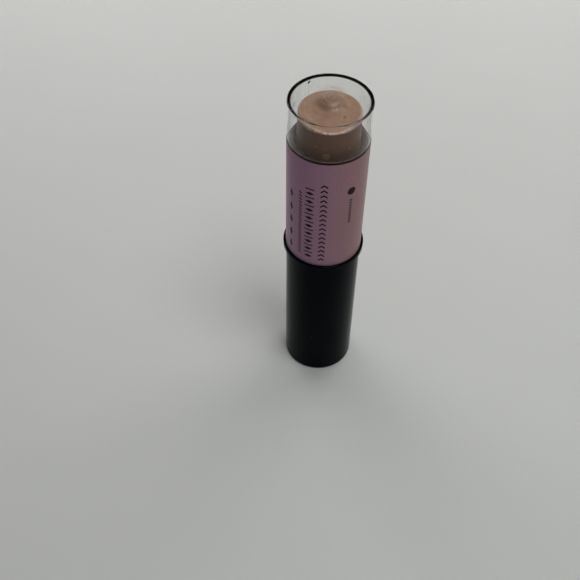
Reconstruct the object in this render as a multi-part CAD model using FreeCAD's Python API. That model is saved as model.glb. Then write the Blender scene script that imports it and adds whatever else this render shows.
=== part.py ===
"""Twist-up highlighter stick with a clear cap, built as its separate mouldings.

The stick stands on its foot along +Z, with the origin at the centre of the foot.
Turning the sleeve in the base runs the carrier cup and its bullet up and down:
the cup's two lugs stand in the straight slots of a fixed tube and in the two
helical grooves of the cam sleeve around it. All sizes are in millimetres.
"""
import FreeCAD, Part
import math
import os

Vector = FreeCAD.Vector

# Overall sizes
OVERALL_HEIGHT = 102.0
BASE_HEIGHT = 52.3
SLEEVE_DIAMETER = 20.0
WINDOW_HEIGHT = 11.6            # clear band of the cap above its label

# Walls
CAP_WALL = 0.82
CAP_TOP_THICKNESS = 0.7
LABEL_THICKNESS = 0.08
SLEEVE_WALL = 0.45
CAM_WALL = 0.60
TUBE_WALL = 0.50
CUP_WALL = 0.50
CUP_FLOOR = 0.9
BASE_WALL = 0.77
BASE_FLOOR = 1.5
LIP_WALL = 0.62
SKIRT_WALL = 0.8
WEB_THICKNESS = 1.2
RIM_THICKNESS = 0.9             # inward rim at the top of the sleeve
BEAD_THICKNESS = 0.7            # outward bead at the top of the slotted tube

# Clearances
CAP_SLIDE = 0.10                # cap bore over the sleeve
BASE_RUN = 0.08                 # sleeve in the base's bore
CAM_SEAT = 0.03                 # cam sleeve glued in the outer sleeve
TUBE_RUN = 0.08                 # cam sleeve around the slotted tube
CUP_RUN = 0.08                  # cup in the slotted tube
SKIRT_SEAT = 0.05               # slotted tube's skirt in the base
LUG_PLAY = 0.15                 # lug in slot and groove
AXIAL_PLAY = 0.12               # end faces that turn against each other
CAP_FOOT_GAP = 0.05             # cap's foot above the seat in the lip
LIP_GAP = 0.10                  # label inside the lip
BULLET_GAP = 0.25               # bullet inside the sleeve's rim
BULLET_HEADROOM = 0.50          # under the cap's top

# Base
LIP_HEIGHT = 1.6
LIP_SEAT_DEPTH = 0.9
LIP_EDGE = 0.25
FOOT_EDGE = 0.8
WEB_HOLE_RADIUS = 3.0
WEIGHT_FILL = 0.39              # share of the chamber under the web that the weight fills
WEIGHT_GAP = 0.1                # weight inside the tube's skirt
WEIGHT_EDGE = 0.4
FOOT_RING = 1.65                # flat ring that the stick stands on
STICKER_THICKNESS = 0.12
STICKER_RECESS = 0.20
STICKER_MARGIN = 0.4

# Cap
CAP_EDGE = 0.30
LABEL_FOOT_MARGIN = 0.3
SNAP_HEIGHT = 0.9               # snap bead on the sleeve and groove in the cap
SNAP_ABOVE_LIP = 1.8
SNAP_BEAD = 0.06
SNAP_GROOVE = 0.12

# Twist mechanism
TRAVEL = 45.0
TURNS = 3
LUG_RADIUS = 1.0
LUG_ABOVE_CUP_BOTTOM = 2.5
CUP_HEIGHT = 9.0
CUP_BELOW_RIM = 2.4             # raised cup's mouth below the sleeve's top
CAM_BELOW = 8.5                 # cam sleeve beyond the lowest lug centre
CAM_FOOT_GAP = 1.2              # brake ring below the cam sleeve
BRAKE_SECTION_RADIUS = 0.30
BRAKE_SEAT_HEIGHT = 3.0
BRAKE_SEAT_STAND = 0.36

# Bullet
BULLET_BELOW_TOP = 3.4          # bullet's face below the top of the cap
BULLET_EDGE = 0.6
LUMP_RADIUS = 3.6
LUMP_OFFSET = 2.4               # away from the stick's axis
LUMP_EDGE = 0.9
LUMP_ROOT = 0.5

CUT_OVER = 0.4                  # how far a cutter passes a surface

# Radii, worked outwards from the sleeve and inwards from it
sleeve_r = SLEEVE_DIAMETER / 2
sleeve_bore_r = sleeve_r - SLEEVE_WALL
cap_bore_r = sleeve_r + CAP_SLIDE
cap_r = cap_bore_r + CAP_WALL
label_r = cap_r + LABEL_THICKNESS
base_bore_r = sleeve_r + BASE_RUN
base_r = base_bore_r + BASE_WALL
lip_bore_r = label_r + LIP_GAP
lip_r = lip_bore_r + LIP_WALL
recess_r = base_r - FOOT_EDGE - FOOT_RING
sticker_r = recess_r - STICKER_MARGIN
cam_r = sleeve_bore_r - CAM_SEAT
cam_bore_r = cam_r - CAM_WALL
tube_r = cam_bore_r - TUBE_RUN
tube_bore_r = tube_r - TUBE_WALL
cup_r = tube_bore_r - CUP_RUN
cup_bore_r = cup_r - CUP_WALL
skirt_r = base_bore_r - SKIRT_SEAT
rim_bore_r = tube_bore_r + TUBE_RUN
bullet_r = rim_bore_r - BULLET_GAP
lug_tip_r = (cam_bore_r + cam_r) / 2 + CAM_WALL / 3

# Heights
cap_foot_z = BASE_HEIGHT - LIP_SEAT_DEPTH + CAP_FOOT_GAP
sleeve_top_z = OVERALL_HEIGHT - WINDOW_HEIGHT
snap_z = BASE_HEIGHT + SNAP_ABOVE_LIP
bead_top_z = sleeve_top_z - RIM_THICKNESS - AXIAL_PLAY
bead_z = bead_top_z - BEAD_THICKNESS
cup_top_z = sleeve_top_z - CUP_BELOW_RIM
cup_z = cup_top_z - CUP_HEIGHT
lug_z = cup_z + LUG_ABOVE_CUP_BOTTOM
lug_low_z = lug_z - TRAVEL
cam_z = lug_low_z - CAM_BELOW
cam_top_z = bead_z - AXIAL_PLAY
brake_z = cam_z - CAM_FOOT_GAP - BRAKE_SECTION_RADIUS
brake_seat_z = brake_z - BRAKE_SECTION_RADIUS
web_top_z = brake_seat_z - BRAKE_SEAT_HEIGHT
web_z = web_top_z - WEB_THICKNESS
sleeve_foot_z = web_top_z + AXIAL_PLAY
weight_height = WEIGHT_FILL * (web_z - BASE_FLOOR)
bullet_z = OVERALL_HEIGHT - BULLET_BELOW_TOP
lump_top_z = OVERALL_HEIGHT - CAP_TOP_THICKNESS - BULLET_HEADROOM

lead = TRAVEL / TURNS
slot_half_width = LUG_RADIUS + LUG_PLAY


def turned(profile):
    """A solid turned about Z from (radius, height) corners."""
    corners = [Vector(radius, 0, height) for radius, height in profile]
    outline = Part.makePolygon(corners + corners[:1])
    return Part.Face(outline).revolve(Vector(0, 0, 0), Vector(0, 0, 1), 360)


def ring(inner_r, outer_r, low, high):
    """A plain tube between two heights."""
    return turned([(inner_r, low), (outer_r, low), (outer_r, high), (inner_r, high)])


def round_edges(solid, size, radius, height):
    """Rounds the circular edges that have this radius and lie at this height."""
    found = []
    for edge in solid.Edges:
        circle = edge.Curve
        if not isinstance(circle, Part.Circle):
            continue
        if abs(circle.Radius - radius) < 1e-4 and abs(circle.Center.z - height) < 1e-4:
            found.append(edge)
    return solid.makeFillet(size, found)


def radial_pin(radius, inner_r, outer_r, angle, height):
    """A round pin that points outwards from the axis at an angle in degrees."""
    turn = math.radians(angle)
    outwards = Vector(math.cos(turn), math.sin(turn), 0)
    return Part.makeCylinder(radius, outer_r - inner_r, outwards * inner_r + Vector(0, 0, height), outwards)


def helical_groove(angle):
    """Cutter for one groove of the cam sleeve, whose lower end is at this angle."""
    inner_r = cam_bore_r - CUT_OVER
    outer_r = cam_r + CUT_OVER
    middle_r = (cam_bore_r + cam_r) / 2
    slope = math.atan2(lead, 2 * math.pi * middle_r)
    half_height = slot_half_width / math.cos(slope)
    helix = Part.makeHelix(lead, TRAVEL, middle_r)
    corners = [
        Vector(inner_r, 0, -half_height),
        Vector(outer_r, 0, -half_height),
        Vector(outer_r, 0, half_height),
        Vector(inner_r, 0, half_height),
    ]
    section = Part.makePolygon(corners + corners[:1])
    cutter = Part.Wire(helix.Edges).makePipeShell([section], True, True)
    ends = [radial_pin(slot_half_width, inner_r, outer_r, 360 * turns, turns * lead) for turns in (0, TURNS)]
    cutter = cutter.fuse(ends)
    cutter.rotate(Vector(0, 0, 0), Vector(0, 0, 1), angle)
    cutter.translate(Vector(0, 0, lug_low_z))
    return cutter


def base_shell():
    """The outer base: barrel, closed foot with a sticker recess, and a lip that seats the cap."""
    seat_z = BASE_HEIGHT - LIP_SEAT_DEPTH
    lip_z = BASE_HEIGHT - LIP_HEIGHT
    shell = turned([
        (0, STICKER_RECESS),
        (recess_r, STICKER_RECESS),
        (recess_r, 0),
        (base_r, 0),
        (base_r, lip_z),
        (lip_r, lip_z),
        (lip_r, BASE_HEIGHT),
        (lip_bore_r, BASE_HEIGHT),
        (lip_bore_r, seat_z),
        (base_bore_r, seat_z),
        (base_bore_r, BASE_FLOOR),
        (0, BASE_FLOOR),
    ])
    shell = round_edges(shell, FOOT_EDGE, base_r, 0)
    shell = round_edges(shell, LIP_EDGE, lip_r, BASE_HEIGHT)
    return round_edges(shell, LIP_EDGE, lip_r, lip_z)


def shade_sticker():
    """The round paper sticker in the foot's recess."""
    low = STICKER_RECESS - STICKER_THICKNESS
    return Part.makeCylinder(sticker_r, STICKER_THICKNESS, Vector(0, 0, low))


def base_weight():
    """The steel slug glued on the base's floor inside the skirt, so that the stick stands well."""
    weight_r = skirt_r - SKIRT_WALL - WEIGHT_GAP
    slug = Part.makeCylinder(weight_r, weight_height, Vector(0, 0, BASE_FLOOR))
    return round_edges(slug, WEIGHT_EDGE, weight_r, BASE_FLOOR + weight_height)


def slotted_tube():
    """The fixed tube: a skirt pressed in the base, two straight slots and a retaining bead."""
    body = turned([
        (skirt_r - SKIRT_WALL, BASE_FLOOR),
        (skirt_r, BASE_FLOOR),
        (skirt_r, web_top_z),
        (tube_r + BRAKE_SEAT_STAND, web_top_z),
        (tube_r + BRAKE_SEAT_STAND, brake_seat_z),
        (tube_r, brake_seat_z),
        (tube_r, bead_z),
        (cam_bore_r + CAM_WALL / 2, bead_z),
        (cam_bore_r + CAM_WALL / 2, bead_top_z),
        (tube_bore_r, bead_top_z),
        (tube_bore_r, web_top_z),
        (WEB_HOLE_RADIUS, web_top_z),
        (WEB_HOLE_RADIUS, web_z),
        (skirt_r - SKIRT_WALL, web_z),
    ])
    inner_r = tube_bore_r - CUT_OVER
    outer_r = tube_r + CUT_OVER
    for side in (0, 180):
        slot = Part.makeBox(outer_r - inner_r, 2 * slot_half_width, TRAVEL,
                            Vector(inner_r, -slot_half_width, lug_low_z))
        slot = slot.fuse(radial_pin(slot_half_width, inner_r, outer_r, 0, lug_low_z))
        slot = slot.fuse(radial_pin(slot_half_width, inner_r, outer_r, 0, lug_z))
        slot.rotate(Vector(0, 0, 0), Vector(0, 0, 1), side)
        body = body.cut(slot)
    return body


def brake_ring():
    """The rubber ring on the slotted tube that gives the twist its drag."""
    return Part.makeTorus(tube_r + BRAKE_SECTION_RADIUS, BRAKE_SECTION_RADIUS, Vector(0, 0, brake_z))


def cam_sleeve():
    """The sleeve with two helical grooves that drive the cup's lugs."""
    sleeve = ring(cam_bore_r, cam_r, cam_z, cam_top_z)
    sleeve.rotate(Vector(0, 0, 0), Vector(0, 0, 1), 90)     # its seam stays clear of the groove ends
    return sleeve.cut([helical_groove(0), helical_groove(180)])


def outer_sleeve():
    """The visible sleeve that the user turns, with an inward rim and a snap bead for the cap."""
    rim_z = sleeve_top_z - RIM_THICKNESS
    bead_r = sleeve_r + SNAP_BEAD
    sleeve = turned([
        (sleeve_bore_r, sleeve_foot_z),
        (sleeve_r, sleeve_foot_z),
        (sleeve_r, snap_z),
        (bead_r, snap_z + SNAP_HEIGHT / 3),
        (bead_r, snap_z + 2 * SNAP_HEIGHT / 3),
        (sleeve_r, snap_z + SNAP_HEIGHT),
        (sleeve_r, sleeve_top_z),
        (rim_bore_r, sleeve_top_z),
        (rim_bore_r, rim_z),
        (sleeve_bore_r, rim_z),
    ])
    sleeve = round_edges(sleeve, SLEEVE_WALL / 2, sleeve_r, sleeve_top_z)
    return round_edges(sleeve, SLEEVE_WALL / 2, rim_bore_r, sleeve_top_z)


def carrier_cup():
    """The cup that holds the bullet, with a lug on each side."""
    cup = turned([
        (0, cup_z),
        (cup_r, cup_z),
        (cup_r, cup_top_z),
        (cup_bore_r, cup_top_z),
        (cup_bore_r, cup_z + CUP_FLOOR),
        (0, cup_z + CUP_FLOOR),
    ])
    for side in (0, 180):
        cup = cup.fuse(radial_pin(LUG_RADIUS, cup_bore_r + CUP_WALL / 2, lug_tip_r, side, lug_z))
    return cup.removeSplitter()


def highlighter_bullet():
    """The stick of product, poured in the cup and pressed into a lump on its face."""
    bullet = turned([
        (0, cup_z + CUP_FLOOR),
        (cup_bore_r, cup_z + CUP_FLOOR),
        (cup_bore_r, cup_top_z),
        (bullet_r, cup_top_z),
        (bullet_r, bullet_z),
        (0, bullet_z),
    ])
    bullet = round_edges(bullet, BULLET_EDGE, bullet_r, bullet_z)
    foot = Vector(0, LUMP_OFFSET, bullet_z - LUMP_ROOT)
    lump = Part.makeCylinder(LUMP_RADIUS, lump_top_z - foot.z, foot)
    return bullet.fuse(round_edges(lump, LUMP_EDGE, LUMP_RADIUS, lump_top_z))


def clear_cap():
    """The clear cap, closed at the top, with a shallow groove for the sleeve's snap bead."""
    groove_r = cap_bore_r + SNAP_GROOVE
    cap = turned([
        (cap_bore_r, cap_foot_z),
        (cap_r, cap_foot_z),
        (cap_r, OVERALL_HEIGHT),
        (0, OVERALL_HEIGHT),
        (0, OVERALL_HEIGHT - CAP_TOP_THICKNESS),
        (cap_bore_r, OVERALL_HEIGHT - CAP_TOP_THICKNESS),
        (cap_bore_r, snap_z + SNAP_HEIGHT),
        (groove_r, snap_z + 2 * SNAP_HEIGHT / 3),
        (groove_r, snap_z + SNAP_HEIGHT / 3),
        (cap_bore_r, snap_z),
    ])
    cap = round_edges(cap, CAP_EDGE, cap_r, OVERALL_HEIGHT)
    return round_edges(cap, CAP_EDGE, cap_bore_r, OVERALL_HEIGHT - CAP_TOP_THICKNESS)


def cap_label():
    """The printed film around the lower part of the cap."""
    return ring(cap_r, label_r, cap_foot_z + LABEL_FOOT_MARGIN, sleeve_top_z)


NODES = {
    "base_shell": base_shell,
    "shade_sticker": shade_sticker,
    "base_weight": base_weight,
    "slotted_tube": slotted_tube,
    "brake_ring": brake_ring,
    "cam_sleeve": cam_sleeve,
    "outer_sleeve": outer_sleeve,
    "carrier_cup": carrier_cup,
    "highlighter_bullet": highlighter_bullet,
    "clear_cap": clear_cap,
    "cap_label": cap_label,
}


def main():
    os.makedirs("parts", exist_ok=True)
    for name, make in NODES.items():
        shape = make()
        shape.exportStep(f"parts/{name}.step")
        box = shape.BoundBox
        print(f"{name}: {len(shape.Solids)} solid, valid {shape.isValid()}, volume {shape.Volume:.1f}, "
              f"z {box.ZMin:.2f} to {box.ZMax:.2f}, width {box.XLength:.2f}")
    print(f"lead {lead:.3f} mm a turn, coupling {-lead / (2 * math.pi * 1000):.9f} m per radian")


main()
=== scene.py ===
import math

import bmesh
import bpy
from bpy.props import FloatProperty, FloatVectorProperty, IntProperty, PointerProperty
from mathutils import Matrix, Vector


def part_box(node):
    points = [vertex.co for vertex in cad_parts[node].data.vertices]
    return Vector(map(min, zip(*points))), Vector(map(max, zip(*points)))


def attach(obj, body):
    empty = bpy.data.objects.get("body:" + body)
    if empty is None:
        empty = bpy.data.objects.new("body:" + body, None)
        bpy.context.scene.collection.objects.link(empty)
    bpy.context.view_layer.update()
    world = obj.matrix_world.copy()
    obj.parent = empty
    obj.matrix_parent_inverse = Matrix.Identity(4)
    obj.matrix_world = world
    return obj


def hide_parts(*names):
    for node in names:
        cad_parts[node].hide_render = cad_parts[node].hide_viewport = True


bl_info = {
    "name": "Twist-up highlighter stick",
    "version": (1, 0, 0),
    "blender": (4, 5, 0),
    "location": "3D View > Sidebar > Stick",
    "description": "Builds the looks of a capped twist-up highlighter stick around its packed frame",
    "category": "Add Mesh",
}

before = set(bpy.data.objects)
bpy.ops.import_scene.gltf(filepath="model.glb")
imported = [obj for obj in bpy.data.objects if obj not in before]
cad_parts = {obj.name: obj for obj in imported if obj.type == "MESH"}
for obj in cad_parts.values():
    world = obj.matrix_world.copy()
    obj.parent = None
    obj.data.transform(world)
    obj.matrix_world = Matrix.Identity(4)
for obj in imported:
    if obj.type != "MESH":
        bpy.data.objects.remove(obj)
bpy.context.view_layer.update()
MM = 0.001

CAP_LOW, CAP_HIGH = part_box("clear_cap")
LABEL_LOW, LABEL_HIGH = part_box("cap_label")
SLEEVE_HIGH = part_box("outer_sleeve")[1]
BULLET_LOW, BULLET_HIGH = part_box("highlighter_bullet")
CUP_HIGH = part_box("carrier_cup")[1]

PER_MM = 1 / MM
FILM = 0.012 * MM           # thickness of a smear on the cap
BULLET_RINGS = 56           # rings of faces from the bullet's rim to its middle
BULLET_SIDES = 192
FACE_OVER_CUP = 9 * MM      # all of the bullet's face lies higher than this over its cup
FLOOR_SIZE = 6.0            # metres, wide enough to fill every view
SENSOR_WIDTH = 36.0         # millimetres, as camera makers state it
NEAREST_SEEN = 0.005        # metres, so that a close camera cuts nothing off

# Lamps: name, azimuth, elevation, distance, size, power and colour
LAMPS = (
    ("key", 315, 70, 0.7, (0.28, 0.28), 1.72, (0.96, 1.0, 1.0)),
    ("back_right", 45, 42, 0.6, (0.32, 0.40), 0.66, (1.0, 1.0, 1.0)),
    ("back_left", 126, 36, 0.6, (0.32, 0.40), 0.58, (1.0, 1.0, 1.0)),
    ("back_low", 90, 18, 0.6, (0.80, 0.16), 1.08, (1.0, 1.0, 1.0)),
    ("back_high", 90, 64, 0.6, (0.70, 0.24), 0.45, (1.0, 1.0, 1.0)),
)

# Rows of printed marks on the label, in millimetres: inputs of the group "Printed row"
PRINTED_ROWS = (
    {"Middle": -11.3, "Half width": 0.75, "Low": 54.0, "High": 78.5, "Pitch": 4.9, "Fill": 0.70, "Bead": 1.0},
    {"Middle": -7.7, "Half width": 0.50, "Low": 55.0, "High": 79.0, "Pitch": 1.2, "Fill": 0.45, "Slant": 0.4},
    {"Middle": -4.9, "Half width": 1.35, "Low": 55.0, "High": 82.0, "Pitch": 3.0, "Fill": 0.40, "Bead": 1.0},
    {"Middle": -4.9, "Half width": 1.35, "Low": 55.0, "High": 82.0, "Pitch": 3.0, "Fill": 0.14, "Shift": 0.5},
    {"Middle": -1.0, "Half width": 0.95, "Low": 54.5, "High": 84.0, "Pitch": 1.75, "Fill": 0.34,
     "Fold": 0.75},
    {"Middle": 6.6, "Half width": 0.45, "Low": 68.0, "High": 77.0, "Pitch": 1.0, "Fill": 0.5},
)
PRINTED_DOT = (6.6, 79.8)   # place along the arc and height, in millimetres

# Paler spots on the bullet's side: place along the arc, height and radius, in millimetres
SIDE_PALE_SPOTS = ((-0.8, 91.0, 1.1), (-3.6, 93.6, 0.35), (5.2, 92.4, 0.5))

# Pits in the bullet's face: x, y, depth and fade, in millimetres
PITS = ((-0.1, 2.2, 0.45, 0.36), (0.5, 2.7, 0.3, 0.36), (3.3, -3.0, 0.6, 0.6), (5.4, -1.2, 0.15, 0.36),
        (-2.4, -1.2, 0.1, 0.36))


# ---------------------------------------------------------------- settings

class CapSettings(bpy.types.PropertyGroup):
    """Sizes and tint of the clear cap."""
    wall: FloatProperty(name="Wall", description="Thickness of the cap's wall", default=0.82 * MM,
                        unit="LENGTH")
    top: FloatProperty(name="Top", description="Thickness of the cap's closed top", default=0.7 * MM,
                       unit="LENGTH")
    edge: FloatProperty(name="Edge", description="Rounding of the top edge", default=0.3 * MM,
                        unit="LENGTH")
    corner: FloatProperty(name="Corner", description="Rounding inside, under the top", default=0.3 * MM,
                          unit="LENGTH")
    flat: FloatProperty(name="Flat margin",
                        description="Ring that keeps the flat faces flat next to their rounding",
                        default=0.12 * MM, unit="LENGTH")
    segments: IntProperty(name="Segments", description="Sides round the cap and its label", default=256)
    tint: FloatVectorProperty(name="Tint", description="Colour of the clear plastic", subtype="COLOR",
                              size=3, default=(0.995, 0.993, 0.985))


class LabelSettings(bpy.types.PropertyGroup):
    """Film and inks of the printed label."""
    gap: FloatProperty(name="Gap", description="Film off the cap's wall", default=0.015 * MM, unit="LENGTH")
    # The film's two side colours carry a painted tint of the light: cooler on the left, warmer on the right.
    film_cool_light_tint: FloatVectorProperty(name="Cool film", description="Colour of the film on the stick's left",
                              subtype="COLOR", size=3, default=(0.465, 0.262, 0.405))
    film_warm_light_tint: FloatVectorProperty(name="Warm film", description="Colour of the film on the stick's right",
                              subtype="COLOR", size=3, default=(0.40, 0.225, 0.225))
    # Border: colour of a dark band just under the film's top edge.
    border: FloatVectorProperty(name="Border", description="Colour of the film's printed top edge",
                                subtype="COLOR", size=3, default=(0.022, 0.006, 0.008))
    pearl: FloatVectorProperty(name="Pearl", description="Colour of the film's pearl", subtype="COLOR",
                               size=3, default=(0.50, 0.285, 0.37))
    ink: FloatVectorProperty(name="Ink", description="Colour of the printed ornament", subtype="COLOR",
                             size=3, default=(0.018, 0.003, 0.014))


class BulletSettings(bpy.types.PropertyGroup):
    """Shape and colour of the wax bullet."""
    face: FloatProperty(name="Face", description="Height of the bullet's face", default=98.6 * MM,
                        unit="LENGTH")
    edge: FloatProperty(name="Edge", description="Rounding of the face's rim", default=0.55 * MM,
                        unit="LENGTH")
    lump: FloatProperty(name="Lump", description="Height of the lump over the face", default=2.15 * MM,
                        unit="LENGTH")
    offset: FloatProperty(name="Lump offset", description="Lump's middle behind the axis", default=2.4 * MM,
                          unit="LENGTH")
    cup_wall: FloatProperty(name="Cup wall", description="Wall of the cup that holds the bullet",
                            default=0.5 * MM, unit="LENGTH")
    wax: FloatVectorProperty(name="Wax", description="Colour of the worn face", subtype="COLOR", size=3,
                             default=(0.43, 0.256, 0.158))
    worn: FloatVectorProperty(name="Deep wax", description="Colour in the face's hollows", subtype="COLOR",
                              size=3, default=(0.34, 0.188, 0.118))
    # The side's colour is painted darker than the face's wax: painted shade on the bullet's side.
    skin: FloatVectorProperty(name="Skin", description="Colour of the moulded side", subtype="COLOR",
                              size=3, default=(0.150, 0.050, 0.020))


class BaseSettings(bpy.types.PropertyGroup):
    """Colours of the black mouldings."""
    black: FloatVectorProperty(name="Black", description="Colour of the glossy base", subtype="COLOR",
                               size=3, default=(0.0002, 0.0010, 0.0027))
    sleeve: FloatVectorProperty(name="Sleeve", description="Colour of the satin sleeve", subtype="COLOR",
                                size=3, default=(0.005, 0.004, 0.0038))
    dust: FloatVectorProperty(name="Wax dust",
                              description="Colour of the wax rubbed off on the sleeve's mouth",
                              subtype="COLOR", size=3, default=(0.05, 0.022, 0.013))
    # The rim line is a painted highlight along the sleeve's outer top edge.
    line: FloatVectorProperty(name="Rim line", description="Colour of the sleeve's worn rim",
                              subtype="COLOR", size=3, default=(0.27, 0.17, 0.15))


class StageSettings(bpy.types.PropertyGroup):
    """Camera and light."""
    lens: FloatProperty(name="Lens", description="Focal length", default=51.06, unit="CAMERA")
    height: FloatProperty(name="Camera height", description="Camera above the floor", default=0.2287,
                          unit="LENGTH")
    distance: FloatProperty(name="Camera distance", description="Camera in front of the stick",
                            default=0.16569, unit="LENGTH")
    side: FloatProperty(name="Camera side", description="Camera left of the stick", default=0.00962,
                        unit="LENGTH")
    pitch: FloatProperty(name="Camera pitch", description="Camera's view below the horizon",
                         default=math.radians(50.47), unit="ROTATION")
    roll: FloatProperty(name="Camera roll", description="Camera's turn about its view",
                        default=math.radians(0.55), unit="ROTATION")
    floor: FloatVectorProperty(name="Floor", description="Colour of the floor", subtype="COLOR", size=3,
                               default=(0.61, 0.61, 0.585))


class StickSettings(bpy.types.PropertyGroup):
    """All settings of the stick."""
    cap: PointerProperty(type=CapSettings)
    label: PointerProperty(type=LabelSettings)
    bullet: PointerProperty(type=BulletSettings)
    base: PointerProperty(type=BaseSettings)
    stage: PointerProperty(type=StageSettings)


# ---------------------------------------------------------------- modelling helpers

def take(obj):
    """Makes an object the only selected one, and active."""
    bpy.ops.object.select_all(action="DESELECT")
    obj.select_set(True)
    bpy.context.view_layer.objects.active = obj


def named(name):
    """Names the object that an operator has just added, and puts its place in its mesh."""
    obj = bpy.context.object
    obj.name = name
    obj.data.name = name
    take(obj)
    bpy.ops.object.transform_apply(location=True, rotation=True, scale=True)
    return obj


def cylinder(name, radius, low, high, segments, ends="NGON"):
    """An upright cylinder about the stick's axis."""
    bpy.ops.object.select_all(action="DESELECT")
    bpy.ops.mesh.primitive_cylinder_add(vertices=segments, radius=radius, depth=high - low,
                                        end_fill_type=ends, location=(0, 0, (low + high) / 2))
    return named(name)


def select(obj, kind, test):
    """In edit mode, selects only the faces, edges or verts that pass a test on their middle point."""
    mode = {"faces": "FACE", "edges": "EDGE", "verts": "VERT"}[kind]
    bpy.ops.mesh.select_mode(type=mode)
    bpy.ops.mesh.select_all(action="DESELECT")
    mesh = bmesh.from_edit_mesh(obj.data)
    for item in getattr(mesh, kind):
        points = [item.co] if kind == "verts" else [v.co for v in item.verts]
        if test(points):
            item.select_set(True)
    mesh.select_flush_mode()
    bmesh.update_edit_mesh(obj.data)


def level(points, height, tolerance=0.02 * MM):
    """True if all the points lie at one height."""
    return all(abs(p.z - height) < tolerance for p in points)


def at_radius(points, radius, tolerance=0.05 * MM):
    """True if all the points lie at one distance from the axis."""
    return all(abs(math.hypot(p.x, p.y) - radius) < tolerance for p in points)


def bevel_ring(obj, radius, height, size, segments=4):
    """Rounds the ring of edges at this radius and height."""
    select(obj, "edges", lambda p: level(p, height) and at_radius(p, radius))
    bpy.ops.mesh.bevel(offset=size, offset_type="OFFSET", segments=segments, affect="EDGES")


def smooth(obj, angle=35):
    """Smooth shading except over sharp edges."""
    take(obj)
    bpy.ops.object.shade_smooth_by_angle(angle=math.radians(angle))


# ---------------------------------------------------------------- node helpers

def shader(name):
    """A new material and its Principled shader."""
    material = bpy.data.materials.new(name)
    material.use_nodes = True
    return material, material.node_tree, material.node_tree.nodes["Principled BSDF"]


def put(tree, kind, inputs=None, **settings):
    """Adds a node. An input is given a value, or is linked if a socket is given."""
    node = tree.nodes.new(kind)
    for key, value in settings.items():
        setattr(node, key, value)
    for key, value in (inputs or {}).items():
        if isinstance(value, bpy.types.NodeSocket):
            tree.links.new(value, node.inputs[key])
        else:
            node.inputs[key].default_value = value
    return node


def maths(tree, operation, a, b=0.0, clamp=False):
    """The output of a Math node on one or two numbers or sockets."""
    node = put(tree, "ShaderNodeMath", {0: a, 1: b}, operation=operation, use_clamp=clamp)
    return node.outputs[0]


def blend(tree, factor, first, second):
    """The output of a colour mix."""
    node = put(tree, "ShaderNodeMix", data_type="RGBA")
    for key, value in (("Factor", factor), ("A", first), ("B", second)):
        socket = next(s for s in node.inputs if s.name == key and s.enabled)
        if isinstance(value, bpy.types.NodeSocket):
            tree.links.new(value, socket)
        elif key == "Factor":
            socket.default_value = value
        else:
            socket.default_value = (*value[:3], 1.0)
    return next(s for s in node.outputs if s.enabled)


def object_place(tree):
    """The output of object coordinates."""
    return put(tree, "ShaderNodeTexCoord").outputs["Object"]


def noise_field(tree, place, scale, detail, roughness=0.5, distortion=0.0):
    """The output of a noise texture."""
    node = put(tree, "ShaderNodeTexNoise", {"Vector": place, "Scale": scale, "Detail": detail,
                                            "Roughness": roughness, "Distortion": distortion})
    return node.outputs["Fac"]


def ramp(tree, value, low, high, start=0.0, end=1.0):
    """The output of a smooth step of a value between two limits."""
    node = put(tree, "ShaderNodeMapRange", {"Value": value, "From Min": low, "From Max": high,
                                            "To Min": start, "To Max": end}, interpolation_type="SMOOTHSTEP")
    return node.outputs["Result"]


def away_from(tree, place, around, height):
    """Distance in millimetres from a point on the stick's side, from the outputs of Stick place."""
    across = maths(tree, "SUBTRACT", place.outputs["Around"], around)
    along = maths(tree, "SUBTRACT", place.outputs["Height"], height)
    return maths(tree, "SQRT", maths(tree, "ADD", maths(tree, "MULTIPLY", across, across),
                                     maths(tree, "MULTIPLY", along, along)))


def group(name, inputs, outputs):
    """A new shader group. Returns the tree and its input and output nodes."""
    tree = bpy.data.node_groups.new(name, "ShaderNodeTree")
    for label, kind, default in inputs:
        socket = tree.interface.new_socket(label, in_out="INPUT", socket_type=kind)
        socket.default_value = default
    for label, kind in outputs:
        tree.interface.new_socket(label, in_out="OUTPUT", socket_type=kind)
    return tree, tree.nodes.new("NodeGroupInput"), tree.nodes.new("NodeGroupOutput")


def use(tree, name, inputs=None):
    """Places a group in a tree."""
    node = put(tree, "ShaderNodeGroup", node_tree=bpy.data.node_groups[name])
    for key, value in (inputs or {}).items():
        if isinstance(value, bpy.types.NodeSocket):
            tree.links.new(value, node.inputs[key])
        else:
            node.inputs[key].default_value = value
    return node


# ---------------------------------------------------------------- shared effects

def stick_place_group():
    """Place on the stick: along the arc from the front, height and distance from the axis, all in
    millimetres, and the angle from the front."""
    tree, _, out = group("Stick place", [], [("Around", "NodeSocketFloat"), ("Height", "NodeSocketFloat"),
                                             ("Radius", "NodeSocketFloat"), ("Angle", "NodeSocketFloat")])
    place = object_place(tree)
    split = put(tree, "ShaderNodeSeparateXYZ", {"Vector": place})
    x, y, z = (split.outputs[axis] for axis in "XYZ")
    angle = maths(tree, "ARCTAN2", x, maths(tree, "MULTIPLY", y, -1.0))
    squares = maths(tree, "ADD", maths(tree, "MULTIPLY", x, x), maths(tree, "MULTIPLY", y, y))
    radius = maths(tree, "MULTIPLY", maths(tree, "SQRT", squares), PER_MM)
    tree.links.new(maths(tree, "MULTIPLY", angle, radius), out.inputs["Around"])
    tree.links.new(maths(tree, "MULTIPLY", z, PER_MM), out.inputs["Height"])
    tree.links.new(radius, out.inputs["Radius"])
    tree.links.new(angle, out.inputs["Angle"])


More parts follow.
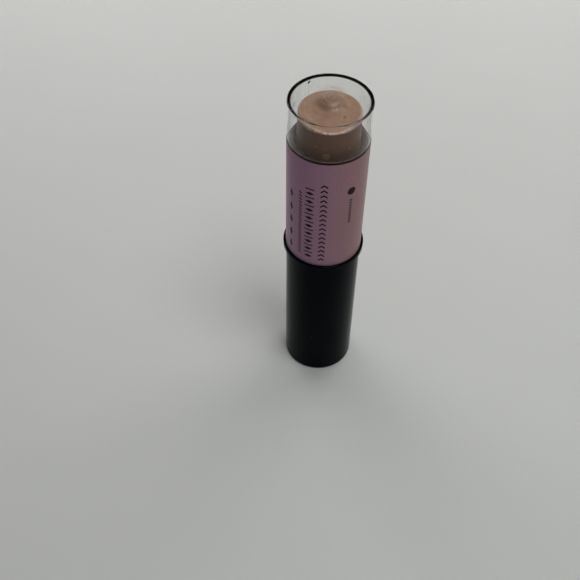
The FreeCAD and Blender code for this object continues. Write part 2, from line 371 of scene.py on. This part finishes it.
def handling_group():
    """Marks of handling on plastic: smudges, hair scratches and dust."""
    tree, given, out = group(
        "Handling", [("Scratches", "NodeSocketFloat", 0.5), ("Dust", "NodeSocketFloat", 0.5)],
        [("Smudge", "NodeSocketFloat"), ("Scratch", "NodeSocketFloat"), ("Speck", "NodeSocketFloat")])
    place = object_place(tree)
    smudge = noise_field(tree, place, 130.0, 4.0, roughness=0.6, distortion=0.6)
    tree.links.new(ramp(tree, smudge, 0.45, 0.72), out.inputs["Smudge"])
    total = None
    for turn, scale in ((0.35, 1.0), (-0.6, 1.3)):
        lined = put(tree, "ShaderNodeMapping", {"Vector": place, "Rotation": (turn, 0.2, turn),
                                                "Scale": (900 * scale, 900 * scale, 26 * scale)})
        noise = noise_field(tree, lined.outputs[0], 1.0, 1.0)
        line = ramp(tree, noise, 0.70, 0.76)
        total = line if total is None else maths(tree, "MAXIMUM", total, line)
    tree.links.new(maths(tree, "MULTIPLY", total, given.outputs["Scratches"]), out.inputs["Scratch"])
    cells = put(tree, "ShaderNodeTexVoronoi", {"Vector": place, "Scale": 420.0, "Randomness": 1.0})
    near = ramp(tree, cells.outputs["Distance"], 0.10, 0.04)
    chosen = put(tree, "ShaderNodeSeparateColor", {"Color": cells.outputs["Color"]})
    rare = ramp(tree, chosen.outputs[0], 0.88, 0.94)
    speck = maths(tree, "MULTIPLY", maths(tree, "MULTIPLY", near, rare), given.outputs["Dust"])
    tree.links.new(speck, out.inputs["Speck"])


def printed_row_group():
    """One upright row of printed marks, given its middle line, ends and pitch, in millimetres.

    Slant and Fold tilt its strokes. Bead turns them into diamonds. Shift moves them by a share of the pitch.
    """
    numbers = (
        ("Around", 0.0), ("Height", 0.0), ("Middle", 0.0), ("Half width", 1.0), ("Low", 60.0), ("High", 80.0),
        ("Pitch", 1.0), ("Fill", 0.5), ("Slant", 0.0), ("Fold", 0.0), ("Bead", 0.0), ("Shift", 0.0),
    )
    tree, given, out = group("Printed row", [(label, "NodeSocketFloat", value) for label, value in numbers],
                             [("Mask", "NodeSocketFloat")])
    has = given.outputs
    across = maths(tree, "SUBTRACT", has["Around"], has["Middle"])
    width = maths(tree, "ABSOLUTE", across)
    share = maths(tree, "DIVIDE", width, has["Half width"])
    tilt = maths(tree, "ADD", maths(tree, "MULTIPLY", width, has["Fold"]),
                 maths(tree, "MULTIPLY", across, has["Slant"]))
    wave = maths(tree, "DIVIDE", maths(tree, "ADD", has["Height"], tilt), has["Pitch"])
    wave = maths(tree, "ADD", wave, has["Shift"])
    phase = maths(tree, "ABSOLUTE", maths(tree, "SUBTRACT", maths(tree, "FRACT", wave), 0.5))
    half = maths(tree, "MULTIPLY", has["Fill"], 0.5)
    left = maths(tree, "SUBTRACT", 1.0, maths(tree, "MULTIPLY", share, has["Bead"]))
    narrowed = maths(tree, "MULTIPLY", half, left)
    edge = maths(tree, "DIVIDE", 0.05, has["Pitch"])
    past = maths(tree, "SUBTRACT", phase, narrowed)
    stroke = maths(tree, "SUBTRACT", 0.5, maths(tree, "DIVIDE", past, edge), clamp=True)
    inside = ramp(tree, maths(tree, "SUBTRACT", width, has["Half width"]), 0.03, -0.03)
    above = ramp(tree, maths(tree, "SUBTRACT", has["Height"], has["Low"]), -0.03, 0.03)
    below = ramp(tree, maths(tree, "SUBTRACT", has["High"], has["Height"]), -0.03, 0.03)
    mask = maths(tree, "MULTIPLY", maths(tree, "MULTIPLY", stroke, inside),
                 maths(tree, "MULTIPLY", above, below))
    tree.links.new(mask, out.inputs["Mask"])


# ---------------------------------------------------------------- materials

def glossy_black(name, colour, roughness, level_of_gloss):
    """Polished black moulding with faint smudges, hair scratches and dust."""
    material, tree, bsdf = shader(name)
    marks = use(tree, "Handling", {"Scratches": 0.6, "Dust": 1.0})
    tone = blend(tree, marks.outputs["Smudge"], colour, tuple(c * 1.8 + 0.0003 for c in colour))
    tone = blend(tree, maths(tree, "MULTIPLY", marks.outputs["Speck"], 0.6), tone, (0.16, 0.15, 0.14))
    rough = maths(tree, "ADD", maths(tree, "MULTIPLY", marks.outputs["Smudge"], 0.10), roughness)
    rough = maths(tree, "ADD", rough, maths(tree, "MULTIPLY", marks.outputs["Scratch"], 0.12))
    ripple = noise_field(tree, object_place(tree), 90.0, 2.0)
    height = maths(tree, "SUBTRACT", ripple, maths(tree, "MULTIPLY", marks.outputs["Scratch"], 0.4))
    bump = put(tree, "ShaderNodeBump", {"Height": height, "Strength": 0.05, "Distance": 0.0001})
    tree.links.new(tone, bsdf.inputs["Base Color"])
    tree.links.new(rough, bsdf.inputs["Roughness"])
    tree.links.new(bump.outputs["Normal"], bsdf.inputs["Normal"])
    bsdf.inputs["Specular IOR Level"].default_value = level_of_gloss
    bsdf.inputs["Specular Tint"].default_value = (0.7, 0.95, 1.0, 1.0)
    return material


def wax_dust_and_rim_highlight(material, top, dust, line):
    """Adds wax rubbed off on a moulding's mouth, and a paler line painted on its rim's outer edge as a
    painted highlight.
    """
    tree = material.node_tree
    bsdf = tree.nodes["Principled BSDF"]
    clean = bsdf.inputs["Base Color"].links[0].from_socket
    place = use(tree, "Stick place")
    here = object_place(tree)
    cloud = noise_field(tree, here, 700.0, 4.0)
    near = ramp(tree, place.outputs["Height"], top - 2.2, top - 0.1)
    mask = maths(tree, "MULTIPLY", near, ramp(tree, cloud, 0.2, 0.8))
    tone = blend(tree, mask, clean, dust)
    # A paler line on the rim's outer top edge, broken up by noise: a painted highlight.
    rim = maths(tree, "MULTIPLY", ramp(tree, place.outputs["Height"], top - 0.12, top - 0.04),
                ramp(tree, place.outputs["Radius"], 9.72, 9.86))
    worn = maths(tree, "MULTIPLY", rim, ramp(tree, cloud, 0.3, 0.6, 0.4, 1.0))
    tone = blend(tree, worn, tone, line)
    tree.links.new(tone, bsdf.inputs["Base Color"])


def plain_moulding(name, colour, roughness):
    """Unpolished moulding with a fine spark-eroded texture."""
    material, tree, bsdf = shader(name)
    place = object_place(tree)
    grain = noise_field(tree, place, 2600.0, 2.0)
    cloud = noise_field(tree, place, 160.0, 3.0)
    tone = blend(tree, cloud, tuple(c * 0.8 for c in colour), tuple(c * 1.25 for c in colour))
    rough = maths(tree, "ADD", maths(tree, "MULTIPLY", grain, 0.15), roughness)
    bump = put(tree, "ShaderNodeBump", {"Height": grain, "Strength": 0.25, "Distance": 0.00005})
    tree.links.new(tone, bsdf.inputs["Base Color"])
    tree.links.new(rough, bsdf.inputs["Roughness"])
    tree.links.new(bump.outputs["Normal"], bsdf.inputs["Normal"])
    return material


def clear_plastic(settings):
    """Clear moulded plastic that lets the lamps' light through."""
    material, tree, bsdf = shader("cap clear plastic")
    marks = use(tree, "Handling", {"Scratches": 0.7, "Dust": 0.6})
    rough = maths(tree, "ADD", maths(tree, "MULTIPLY", marks.outputs["Scratch"], 0.10), 0.015)
    rough = maths(tree, "ADD", rough, maths(tree, "MULTIPLY", marks.outputs["Smudge"], 0.02))
    bsdf.inputs["Base Color"].default_value = (*settings.tint, 1.0)
    bsdf.inputs["Transmission Weight"].default_value = 1.0
    bsdf.inputs["IOR"].default_value = 1.49
    bsdf.inputs["Specular Tint"].default_value = (0.62, 0.52, 0.46, 1.0)
    tree.links.new(rough, bsdf.inputs["Roughness"])
    through = put(tree, "ShaderNodeBsdfTransparent", {"Color": (0.92, 0.92, 0.92, 1.0)})
    rays = put(tree, "ShaderNodeLightPath")
    lamps = put(tree, "ShaderNodeMixShader", {0: rays.outputs["Is Shadow Ray"], 1: bsdf.outputs[0],
                                              2: through.outputs[0]})
    soft = put(tree, "ShaderNodeMixShader", {0: rays.outputs["Is Diffuse Ray"], 1: lamps.outputs[0],
                                             2: through.outputs[0]})
    tree.links.new(soft.outputs[0], tree.nodes["Material Output"].inputs["Surface"])
    return material


def label_film(settings):
    """Pearly mauve film with a dark top edge and a printed ornament of strokes, chevrons and diamonds."""
    material, tree, bsdf = shader("label film")
    place = use(tree, "Stick place")
    around, height = place.outputs["Around"], place.outputs["Height"]
    ink = ramp(tree, away_from(tree, place, *PRINTED_DOT), 1.3, 1.2)
    for row in PRINTED_ROWS:
        mask = use(tree, "Printed row", {"Around": around, "Height": height, **row}).outputs["Mask"]
        ink = maths(tree, "MAXIMUM", ink, mask)
    here = object_place(tree)
    pearl = noise_field(tree, here, 3000.0, 2.0)
    cloud = noise_field(tree, here, 60.0, 3.0)
    mixed = maths(tree, "MULTIPLY", ramp(tree, pearl, 0.4, 0.75),
                  ramp(tree, cloud, 0.3, 0.7, 0.4, 1.0))
    # Film colour shifts from cool on the left to warm on the right, a painted tint of the light falling from
    # each side.
    right = maths(tree, "SINE", place.outputs["Angle"])
    film = blend(tree, ramp(tree, right, -1.0, 1.0), tuple(settings.film_cool_light_tint), tuple(settings.film_warm_light_tint))
    tone = blend(tree, mixed, film, tuple(settings.pearl))
    tone = blend(tree, ink, tone, tuple(settings.ink))
    # Darkens a thin band just under the film's top edge.
    edge = ramp(tree, height, LABEL_HIGH.z * PER_MM - 0.30, LABEL_HIGH.z * PER_MM - 0.20)
    tone = blend(tree, edge, tone, tuple(settings.border))
    marks = use(tree, "Handling", {"Scratches": 0.6, "Dust": 0.2})
    rough = maths(tree, "ADD", maths(tree, "MULTIPLY", marks.outputs["Smudge"], 0.1), 0.34)
    bsdf.inputs["Specular IOR Level"].default_value = 0.12
    bsdf.inputs["Specular Tint"].default_value = (0.85, 0.5, 0.65, 1.0)
    lift = maths(tree, "ADD", maths(tree, "MULTIPLY", ink, 0.5), maths(tree, "MULTIPLY", pearl, 0.1))
    bump = put(tree, "ShaderNodeBump", {"Height": lift, "Strength": 0.2, "Distance": 0.00003})
    tree.links.new(tone, bsdf.inputs["Base Color"])
    tree.links.new(rough, bsdf.inputs["Roughness"])
    tree.links.new(bump.outputs["Normal"], bsdf.inputs["Normal"])
    return material


def shaded_side_tone(tree, place, settings):
    """The wax's side, painted darker than the face as painted shade, with a few paler spots."""
    tone = tuple(settings.skin)
    for around, height, size in SIDE_PALE_SPOTS:
        away = away_from(tree, place, around, height)
        disc = maths(tree, "MULTIPLY", ramp(tree, away, size, size * 0.55),
                     ramp(tree, away, size * 0.1, size * 0.5, 0.4, 1.0))
        tone = blend(tree, maths(tree, "MULTIPLY", disc, 0.75), tone, tuple(settings.worn))
    return tone


def wax(settings):
    """Shimmering wax: the side painted darker than the face as painted shade, and a paler, worn and pearly
    face whose rim crumbs are painted brighter towards the front as a painted highlight.
    """
    material, tree, bsdf = shader("highlighter wax")
    here = object_place(tree)
    place = use(tree, "Stick place")
    top = settings.face * PER_MM
    face = ramp(tree, place.outputs["Height"], top - 1.1, top - 0.3)
    cloud = noise_field(tree, here, 260.0, 4.0, distortion=1.2)
    mottle = noise_field(tree, here, 900.0, 3.0)
    pearl = put(tree, "ShaderNodeTexVoronoi", {"Vector": here, "Scale": 7000.0})
    chance = put(tree, "ShaderNodeSeparateColor", {"Color": pearl.outputs["Color"]}).outputs[0]
    flake = maths(tree, "MULTIPLY", ramp(tree, chance, 0.90, 1.0), ramp(tree, mottle, 0.35, 0.65))
    tone = blend(tree, ramp(tree, cloud, 0.3, 0.75), tuple(settings.worn), tuple(settings.wax))
    # Blends from the side's painted shade up to the face's own colour.
    tone = blend(tree, face, shaded_side_tone(tree, place, settings), tone)
    crumb = noise_field(tree, here, 2600.0, 3.0, roughness=0.7)
    drag = noise_field(tree, here, 330.0, 2.0)
    rim = maths(tree, "MULTIPLY", ramp(tree, place.outputs["Radius"], 7.5, 7.95),
                ramp(tree, place.outputs["Height"], top - 0.95, top - 0.7))
    worn = maths(tree, "MULTIPLY", rim, maths(tree, "MULTIPLY", ramp(tree, crumb, 0.36, 0.56),
                                              ramp(tree, drag, 0.25, 0.6, 0.35, 1.0)))
    # Pale crumbs round the face's rim are partly real wear; their strength towards the front is a painted
    # highlight.
    front = ramp(tree, maths(tree, "ABSOLUTE", place.outputs["Angle"]), 1.1, 0.2, 0.45, 0.95)
    tone = blend(tree, maths(tree, "MULTIPLY", worn, front), tone, (0.92, 0.70, 0.60))
    tone = blend(tree, maths(tree, "MULTIPLY", flake, 0.22), tone, (0.80, 0.62, 0.48))
    rough = maths(tree, "SUBTRACT", ramp(tree, mottle, 0.3, 0.7, 0.36, 0.5),
                  maths(tree, "MULTIPLY", flake, 0.2))
    lift = maths(tree, "MULTIPLY", cloud, 0.8)
    for part, share in ((mottle, 0.25), (flake, 0.1), (worn, 0.3)):
        lift = maths(tree, "ADD", lift, maths(tree, "MULTIPLY", part, share))
    bump = put(tree, "ShaderNodeBump", {"Height": lift, "Strength": 0.3, "Distance": 0.00012})
    tree.links.new(tone, bsdf.inputs["Base Color"])
    tree.links.new(rough, bsdf.inputs["Roughness"])
    tree.links.new(maths(tree, "MULTIPLY", flake, 0.5), bsdf.inputs["Metallic"])
    tree.links.new(bump.outputs["Normal"], bsdf.inputs["Normal"])
    return material


def smear_film(name, colour, mask):
    """Thin soiling that shows only where its mask does."""
    material, tree, bsdf = shader(name)
    here = object_place(tree)
    cloud = noise_field(tree, here, 800.0, 3.0)
    tone = blend(tree, cloud, tuple(c * 0.85 for c in colour), tuple(c * 1.1 for c in colour))
    tree.links.new(tone, bsdf.inputs["Base Color"])
    tree.links.new(mask(tree, here, use(tree, "Stick place")), bsdf.inputs["Alpha"])
    bsdf.inputs["Roughness"].default_value = 0.6
    return material


def brushed_steel():
    """Turned steel."""
    material, tree, bsdf = shader("turned steel")
    place = use(tree, "Stick place")
    line = put(tree, "ShaderNodeCombineXYZ", {"X": maths(tree, "MULTIPLY", place.outputs["Radius"], 9.0),
                                              "Y": maths(tree, "MULTIPLY", place.outputs["Height"], 9.0)})
    noise = noise_field(tree, line.outputs[0], 2.0, 3.0)
    tree.links.new(blend(tree, noise, (0.38, 0.38, 0.39), (0.6, 0.6, 0.6)), bsdf.inputs["Base Color"])
    tree.links.new(maths(tree, "ADD", maths(tree, "MULTIPLY", noise, 0.2), 0.25),
                   bsdf.inputs["Roughness"])
    bsdf.inputs["Metallic"].default_value = 1.0
    return material


def sticker_paper():
    """Coated paper with a printed ring and a colour swatch."""
    material, tree, bsdf = shader("sticker paper")
    place = use(tree, "Stick place")
    radius = place.outputs["Radius"]
    ring = maths(tree, "MULTIPLY", ramp(tree, radius, 6.9, 7.0), ramp(tree, radius, 7.35, 7.25))
    swatch = ramp(tree, radius, 4.1, 4.0)
    here = object_place(tree)
    fibre = noise_field(tree, here, 1500.0, 4.0)
    paper = blend(tree, fibre, (0.72, 0.70, 0.68), (0.82, 0.80, 0.78))
    tone = blend(tree, ring, paper, (0.03, 0.02, 0.025))
    tone = blend(tree, swatch, tone, (0.42, 0.27, 0.19))
    bump = put(tree, "ShaderNodeBump", {"Height": fibre, "Strength": 0.2, "Distance": 0.00004})
    tree.links.new(tone, bsdf.inputs["Base Color"])
    tree.links.new(bump.outputs["Normal"], bsdf.inputs["Normal"])
    bsdf.inputs["Roughness"].default_value = 0.45
    return material


def floor_paint(colour):
    """Plain pale floor with the faintest unevenness."""
    material, tree, bsdf = shader("pale floor")
    here = object_place(tree)
    cloud = noise_field(tree, here, 14.0, 5.0, roughness=0.55)
    tone = blend(tree, cloud, tuple(c * 0.97 for c in colour), tuple(c * 1.03 for c in colour))
    tree.links.new(tone, bsdf.inputs["Base Color"])
    bsdf.inputs["Roughness"].default_value = 0.55
    return material


# ---------------------------------------------------------------- operators

class STICK_OT_shared(bpy.types.Operator):
    """Build the node groups that several materials use"""
    bl_idname = "stick.shared"
    bl_label = "Shared effects"

    def execute(self, context):
        stick_place_group()
        handling_group()
        printed_row_group()
        return {"FINISHED"}


class STICK_OT_cap(bpy.types.Operator):
    """Model the clear cap"""
    bl_idname = "stick.cap"
    bl_label = "Clear cap"

    def execute(self, context):
        settings = context.scene.stick.cap
        radius = CAP_HIGH.x
        low, high = CAP_LOW.z, CAP_HIGH.z
        ceiling = high - settings.top
        bore = radius - settings.wall
        cap = cylinder("cap_glass", radius, low, high, settings.segments)
        bpy.ops.object.mode_set(mode="EDIT")
        select(cap, "faces", lambda p: level(p, low))
        bpy.ops.mesh.inset(thickness=settings.wall)
        bpy.ops.mesh.extrude_region_move(TRANSFORM_OT_translate={"value": (0, 0, ceiling - low)})
        bevel_ring(cap, radius, high, settings.edge)
        bevel_ring(cap, bore, ceiling, settings.corner)
        bevel_ring(cap, radius, low, settings.wall / 5, 2)
        bevel_ring(cap, bore, low, settings.wall / 5, 2)
        for height, reach in ((high, radius - settings.edge), (ceiling, bore - settings.corner)):
            share = (reach - settings.flat) / reach
            select(cap, "faces", lambda p: level(p, height))
            bpy.ops.mesh.extrude_region_move()
            bpy.ops.transform.resize(value=(share, share, 1), center_override=(0, 0, height))
        bpy.ops.object.mode_set(mode="OBJECT")
        smooth(cap)
        cap.data.materials.append(clear_plastic(settings))
        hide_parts("clear_cap")
        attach(cap, "cap")
        return {"FINISHED"}


class STICK_OT_soiling(bpy.types.Operator):
    """Model the smear of wax under the cap's top, the smudges on its wall and a fleck of dirt"""
    bl_idname = "stick.soiling"
    bl_label = "Soiling"

    def execute(self, context):
        settings = context.scene.stick
        ceiling = CAP_HIGH.z - settings.cap.top
        bore = CAP_HIGH.x - settings.cap.wall
        reach = 4.6 * MM
        smear = cylinder("wax_smear", reach, ceiling - 2 * FILM, ceiling - FILM, 64)
        bpy.ops.object.mode_set(mode="EDIT")
        bpy.ops.transform.resize(value=(1.0, 0.85, 1.0), center_override=(0, 0, ceiling))
        bpy.ops.transform.translate(value=(0.3 * MM, settings.bullet.offset + 0.9 * MM, 0))
        bpy.ops.object.mode_set(mode="OBJECT")
        smear.data.materials.append(smear_film("wax smear", (0.50, 0.38, 0.30), self.smear_mask))
        smudges = cylinder("cap_smudges", bore - 2 * FILM, SLEEVE_HIGH.z + 0.3 * MM, ceiling - 0.4 * MM,
                           settings.cap.segments, ends="NOTHING")
        film = smudges.modifiers.new("Film", "SOLIDIFY")
        film.thickness = FILM
        film.offset = -1
        bpy.ops.object.modifier_apply(modifier="Film")
        smudges.data.materials.append(smear_film("cap smudges", (0.72, 0.69, 0.66), self.smudge_mask))
        turn = math.radians(122)
        spot = Vector((math.cos(turn), math.sin(turn))) * (bore - 0.1 * MM)
        bpy.ops.object.select_all(action="DESELECT")
        bpy.ops.mesh.primitive_ico_sphere_add(subdivisions=3, radius=0.5 * MM,
                                              location=(spot.x, spot.y, ceiling - 0.8 * MM),
                                              rotation=(0.7, 0, turn), scale=(0.16, 0.55, 1.0))
        fleck = named("dirt_fleck")
        bpy.ops.object.mode_set(mode="EDIT")
        bpy.ops.transform.vertex_random(offset=0.03 * MM, seed=3)
        bpy.ops.object.mode_set(mode="OBJECT")
        fleck.data.materials.append(plain_moulding("dirt", (0.004, 0.003, 0.003), 0.8))
        for piece in (smear, smudges, fleck):
            smooth(piece, 60)
            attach(piece, "cap")
        return {"FINISHED"}

    @staticmethod
    def smear_mask(tree, here, place):
        """A cloud that thins out to the smear's edge."""
        centred = put(tree, "ShaderNodeMapping", {"Vector": here, "Location": (-0.3 * MM, -3.3 * MM, 0)})
        split = put(tree, "ShaderNodeSeparateXYZ", {"Vector": centred.outputs[0]})
        x, y = split.outputs["X"], split.outputs["Y"]
        squares = maths(tree, "ADD", maths(tree, "MULTIPLY", x, x),
                        maths(tree, "MULTIPLY", maths(tree, "MULTIPLY", y, y), 1.4))
        away = maths(tree, "MULTIPLY", maths(tree, "SQRT", squares), PER_MM)
        cloud = noise_field(tree, here, 380.0, 4.0, distortion=0.6)
        body = maths(tree, "MULTIPLY", ramp(tree, away, 4.5, 2.2), ramp(tree, cloud, 0.15, 0.95))
        return maths(tree, "MULTIPLY", body, 0.36)

    @staticmethod
    def smudge_mask(tree, here, place):
        """Patches and upright wipes, thicker on the left."""
        off_left = maths(tree, "ABSOLUTE", maths(tree, "ADD", place.outputs["Angle"], 1.9))
        left = ramp(tree, off_left, 1.1, 0.1, 0.35, 1.0)
        patches = noise_field(tree, here, 420.0, 5.0, roughness=0.65)
        long = put(tree, "ShaderNodeMapping", {"Vector": here, "Scale": (1500.0, 1500.0, 130.0)})
        wipes = noise_field(tree, long.outputs[0], 1.0, 2.0)
        both = maths(tree, "MAXIMUM", ramp(tree, patches, 0.56, 0.74),
                     maths(tree, "MULTIPLY", ramp(tree, wipes, 0.62, 0.72), 0.7))
        return maths(tree, "MULTIPLY", maths(tree, "MULTIPLY", both, left), 0.30)


class STICK_OT_label(bpy.types.Operator):
    """Model the printed film round the cap"""
    bl_idname = "stick.label"
    bl_label = "Cap label"

    def execute(self, context):
        settings = context.scene.stick
        inner = CAP_HIGH.x + settings.label.gap
        film = cylinder("label_film", inner, LABEL_LOW.z, LABEL_HIGH.z, settings.cap.segments, ends="NOTHING")
        wall = film.modifiers.new("Film", "SOLIDIFY")
        wall.thickness = LABEL_HIGH.x - inner
        wall.offset = 1
        wall.use_even_offset = True
        bpy.ops.object.modifier_apply(modifier="Film")
        smooth(film)
        film.data.materials.append(label_film(settings.label))
        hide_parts("cap_label")
        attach(film, "cap")
        return {"FINISHED"}


class STICK_OT_bullet(bpy.types.Operator):
    """Model the wax bullet with the lump pressed up on its face"""
    bl_idname = "stick.bullet"
    bl_label = "Highlighter bullet"

    def execute(self, context):
        settings = context.scene.stick.bullet
        radius = BULLET_HIGH.x
        neck = CUP_HIGH.x - settings.cup_wall - 0.02 * MM
        face = settings.face
        bullet = cylinder("bullet_wax", radius, CUP_HIGH.z, face, BULLET_SIDES)
        bpy.ops.object.mode_set(mode="EDIT")
        select(bullet, "faces", lambda p: level(p, CUP_HIGH.z))
        bpy.ops.mesh.inset(thickness=radius - neck)
        bpy.ops.mesh.extrude_region_move(TRANSFORM_OT_translate={"value": (0, 0, BULLET_LOW.z - CUP_HIGH.z)})
        bevel_ring(bullet, radius, face, settings.edge, 6)
        select(bullet, "faces", lambda p: level(p, face))
        for ring in range(BULLET_RINGS, 1, -1):
            share = (ring - 1) / ring
            bpy.ops.mesh.extrude_region_move()
            bpy.ops.transform.resize(value=(share, share, 1), center_override=(0, 0, face))
        bpy.ops.mesh.poke()
        self.push(bullet, (0.0, 0.0), 0.1 * MM, 0.2 * MM, 7.5 * MM)
        self.push(bullet, (0.4 * MM, -8.0 * MM), 1.2 * MM, -0.45 * MM, 3.6 * MM)
        lump = Vector((0.3 * MM, settings.offset))
        self.push(bullet, lump, 2.1 * MM, settings.lump * 0.55, 2.9 * MM)
        self.push(bullet, lump, 1.9 * MM, settings.lump * 0.20, 1.9 * MM)
        self.push(bullet, lump + Vector((2.2, -0.8)) * MM, 0.9 * MM, 0.28 * MM, 1.9 * MM)
        self.push(bullet, lump + Vector((0.3, 0.9)) * MM, 1.2 * MM, settings.lump * 0.16, 1.4 * MM)
        self.crease(bullet, lump, 3.6 * MM, (205, 280), -0.16 * MM, 0.9 * MM)
        self.crease(bullet, lump, 2.0 * MM, (190, 300), 0.18 * MM, 0.4 * MM)
        self.crease(bullet, lump, 1.3 * MM, (170, 320), -0.14 * MM, 0.5 * MM)
        self.crease(bullet, lump, 4.9 * MM, (205, 300), 0.14 * MM, 0.8 * MM)
        self.crease(bullet, Vector((0, 0)), 6.7 * MM, (160, 235), 0.10 * MM, 0.8 * MM)
        for x, y, depth, fade in PITS:
            self.push(bullet, Vector((x, y)) * MM, 0.15 * MM, -depth * MM, fade * MM)
        bpy.ops.object.mode_set(mode="OBJECT")
        grain = bpy.data.textures.new("wax grain", "CLOUDS")
        grain.noise_scale = 1.6 * MM
        grain.noise_depth = 3
        uneven = bullet.modifiers.new("Uneven", "DISPLACE")
        uneven.texture = grain
        uneven.texture_coords = "LOCAL"
        uneven.direction = "Z"
        uneven.strength = 0.12 * MM
        uneven.mid_level = 0.6
        top = bullet.vertex_groups.new(name="Face")
        top.add([v.index for v in bullet.data.vertices if v.co.z > face - settings.edge / 2], 1.0, "REPLACE")
        uneven.vertex_group = "Face"
        bpy.ops.object.modifier_apply(modifier="Uneven")
        bullet.vertex_groups.clear()
        smooth(bullet, 60)
        bullet.data.materials.append(wax(settings))
        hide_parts("highlighter_bullet")
        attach(bullet, "carrier")
        return {"FINISHED"}

    @staticmethod
    def on_face(points):
        """True for a vertex of the bullet's face or of its rim."""
        return points[0].z > CUP_HIGH.z + FACE_OVER_CUP

    def push(self, obj, middle, reach, lift, fade):
        """Lifts the face round a point, fading out smoothly past its reach."""
        spot = Vector(middle)
        select(obj, "verts", lambda p: self.on_face(p) and (p[0].xy - spot).length < reach)
        bpy.ops.transform.translate(value=(0, 0, lift), use_proportional_edit=True,
                                    proportional_edit_falloff="SMOOTH", proportional_size=fade)

    def crease(self, obj, middle, radius, span, lift, fade):
        """Lifts or sinks an arc of the face round a point, between two angles."""
        spot = Vector(middle)

        def on_arc(p):
            away = p[0].xy - spot
            turn = math.degrees(math.atan2(away.y, away.x)) % 360
            near = abs(away.length - radius) < 0.1 * MM
            return self.on_face(p) and near and span[0] < turn < span[1]

        select(obj, "verts", on_arc)
        bpy.ops.transform.translate(value=(0, 0, lift), use_proportional_edit=True,
                                    proportional_edit_falloff="SMOOTH", proportional_size=fade)


class STICK_OT_mouldings(bpy.types.Operator):
    """Finish the base, the sleeve and the pieces inside"""
    bl_idname = "stick.mouldings"
    bl_label = "Mouldings"

    def execute(self, context):
        settings = context.scene.stick.base
        black = glossy_black("polished black", tuple(settings.black), 0.08, 0.038)
        sleeve = glossy_black("satin black", tuple(settings.sleeve), 0.3, 0.07)
        wax_dust_and_rim_highlight(sleeve, SLEEVE_HIGH.z * PER_MM, tuple(settings.dust), tuple(settings.line))
        inner = plain_moulding("inner moulding", (0.02, 0.02, 0.022), 0.5)
        rubber = plain_moulding("brake rubber", (0.03, 0.03, 0.03), 0.7)
        finishes = {
            "base_shell": black, "outer_sleeve": sleeve, "slotted_tube": inner, "cam_sleeve": inner,
            "carrier_cup": inner, "brake_ring": rubber, "base_weight": brushed_steel(),
            "shade_sticker": sticker_paper(),
        }
        for node, material in finishes.items():
            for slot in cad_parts[node].material_slots:
                slot.material = material
        return {"FINISHED"}


class STICK_OT_stage(bpy.types.Operator):
    """Set up the floor, the lights and the camera"""
    bl_idname = "stick.stage"
    bl_label = "Stage"

    def execute(self, context):
        settings = context.scene.stick.stage
        bpy.ops.object.select_all(action="DESELECT")
        bpy.ops.mesh.primitive_plane_add(size=FLOOR_SIZE, location=(0, 0, 0))
        floor = named("floor")
        floor.data.materials.append(floor_paint(tuple(settings.floor)))

        scene = context.scene
        scene.world = bpy.data.worlds.new("studio")
        scene.world.use_nodes = True
        sky = scene.world.node_tree.nodes["Background"]
        sky.inputs["Color"].default_value = (1.0, 1.0, 1.0, 1.0)
        sky.inputs["Strength"].default_value = 0.06
        scene.view_settings.view_transform = "Standard"

        for values in LAMPS:
            self.lamp(*values)

        bpy.ops.object.camera_add(
            location=(-settings.side, -settings.distance, settings.height),
            rotation=(math.radians(90) - settings.pitch, 0, 0))
        camera = bpy.context.object
        camera.rotation_euler.rotate_axis("Z", settings.roll)
        camera.data.lens = settings.lens
        camera.data.sensor_width = SENSOR_WIDTH
        camera.data.clip_start = NEAREST_SEEN
        scene.camera = camera
        return {"FINISHED"}

    def lamp(self, name, azimuth, elevation, distance, size, power, colour):
        """A soft lamp that looks at the foot of the stick."""
        turn, lift = math.radians(azimuth), math.radians(elevation)
        across = math.cos(lift)
        place = Vector((across * math.cos(turn), across * math.sin(turn), math.sin(lift))) * distance
        bpy.ops.object.light_add(type="AREA", location=place)
        lamp = bpy.context.object
        lamp.name = name
        lamp.visible_camera = False
        lamp.visible_transmission = False
        lamp.data.shape = "RECTANGLE"
        lamp.data.size, lamp.data.size_y = size
        lamp.data.energy = power
        lamp.data.color = colour
        lamp.rotation_euler = (-place).to_track_quat("-Z", "Y").to_euler()


class STICK_PT_panel(bpy.types.Panel):
    """Lists the pieces of the stick"""
    bl_idname = "STICK_PT_panel"
    bl_label = "Highlighter stick"
    bl_space_type = "VIEW_3D"
    bl_region_type = "UI"
    bl_category = "Stick"

    def draw(self, context):
        for operator in OPERATORS:
            self.layout.operator(operator.bl_idname)


OPERATORS = (STICK_OT_shared, STICK_OT_cap, STICK_OT_soiling, STICK_OT_label, STICK_OT_bullet,
             STICK_OT_mouldings, STICK_OT_stage)
CLASSES = (CapSettings, LabelSettings, BulletSettings, BaseSettings, StageSettings, StickSettings, *OPERATORS,
           STICK_PT_panel)


def register():
    for each in CLASSES:
        bpy.utils.register_class(each)
    bpy.types.Scene.stick = PointerProperty(type=StickSettings)


def unregister():
    del bpy.types.Scene.stick
    for each in reversed(CLASSES):
        bpy.utils.unregister_class(each)


def main():
    register()
    bpy.ops.stick.shared()
    bpy.ops.stick.cap()
    bpy.ops.stick.soiling()
    bpy.ops.stick.label()
    bpy.ops.stick.bullet()
    bpy.ops.stick.mouldings()
    bpy.ops.stick.stage()


if __name__ == "__main__":
    main()
